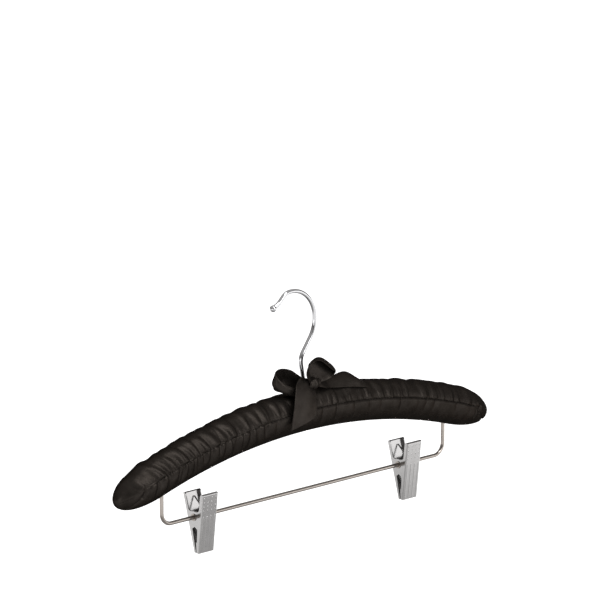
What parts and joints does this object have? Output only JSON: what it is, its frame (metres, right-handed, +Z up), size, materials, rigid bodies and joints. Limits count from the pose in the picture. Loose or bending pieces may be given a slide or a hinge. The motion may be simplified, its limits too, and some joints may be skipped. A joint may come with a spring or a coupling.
{
  "type": "padded clip hanger",
  "caption": "Satin padded clothes hanger: curved arm with ribbon bow, swivelling wire hook, and skirt bar with sliding sprung clips.",
  "frame": {"origin": "hook seat: the point at the top of the hook's inside where it hangs on a rail", "axes": "+X along the arm, away from the hook's tip; +Y from the seamed front to the back, along the rail; +Z up"},
  "size_m": [0.3808, 0.0307, 0.1818],
  "materials": {
    "satin": "gathered black satin",
    "ribbon": "black satin ribbon",
    "foam": "soft polyester foam",
    "beech": "plain sanded",
    "chrome": "bright chrome plate",
    "nickel_wire": "bright nickel plate",
    "nickel_sheet": "nickel-plated stamped sheet",
    "steel": "zinc-plated",
    "spring_steel": "plated spring wire"
  },
  "bodies": {
    "hook": {"hook_wire": "chrome", "hook_tip_ball": "chrome"},
    "arm": {"wooden_core": "beech", "foam_left": "foam", "foam_right": "foam", "cover_upper": "satin", "cover_lower": "satin", "hook_bushing": "steel", "hook_washer": "steel", "skirt_bar": "nickel_wire", "ribbon_knot": "ribbon", "ribbon_loop_left": "ribbon", "ribbon_loop_right": "ribbon", "ribbon_tail_front": "ribbon", "ribbon_tail_right": "ribbon"},
    "clip_left_sleeve": {"clip_left_sleeve": "nickel_wire"},
    "clip_left_rear_jaw": {"clip_left_rear_jaw": "nickel_sheet", "clip_left_spring": "spring_steel"},
    "clip_left_front_jaw": {"clip_left_front_jaw": "nickel_sheet"},
    "clip_right_sleeve": {"clip_right_sleeve": "nickel_wire"},
    "clip_right_rear_jaw": {"clip_right_rear_jaw": "nickel_sheet", "clip_right_spring": "spring_steel"},
    "clip_right_front_jaw": {"clip_right_front_jaw": "nickel_sheet"}
  },
  "joints": [
    {"name": "hook_swivel", "type": "hinge", "parent": "hook", "child": "arm", "pos_m": [0.015, 0, -0.0896], "axis": [0, 0, 1], "continuous": true},
    {"name": "clip_left_slide", "type": "slide", "parent": "arm", "child": "clip_left_sleeve", "axis": [1, 0, 0], "range_m": [-0.0215, 0.0933]},
    {"name": "clip_left_swing", "type": "hinge", "parent": "clip_left_sleeve", "child": "clip_left_rear_jaw", "pos_m": [-0.0903, 0, -0.1511], "axis": [1, 0, 0], "continuous": true},
    {"name": "clip_left_open", "type": "hinge", "parent": "clip_left_rear_jaw", "child": "clip_left_front_jaw", "pos_m": [-0.0903, 0, -0.1511], "axis": [-1, 0, 0], "range_deg": [0, 26], "stiffness_Nm_per_rad": 0.05, "springref_deg": -68.75, "deforming": ["clip_left_spring"]},
    {"name": "clip_right_slide", "type": "slide", "parent": "arm", "child": "clip_right_sleeve", "axis": [1, 0, 0], "range_m": [-0.0933, 0.0215]},
    {"name": "clip_right_swing", "type": "hinge", "parent": "clip_right_sleeve", "child": "clip_right_rear_jaw", "pos_m": [0.1203, 0, -0.1511], "axis": [1, 0, 0], "continuous": true},
    {"name": "clip_right_open", "type": "hinge", "parent": "clip_right_rear_jaw", "child": "clip_right_front_jaw", "pos_m": [0.1203, 0, -0.1511], "axis": [-1, 0, 0], "range_deg": [0, 26], "stiffness_Nm_per_rad": 0.05, "springref_deg": -68.75, "deforming": ["clip_right_spring"]}
  ]
}
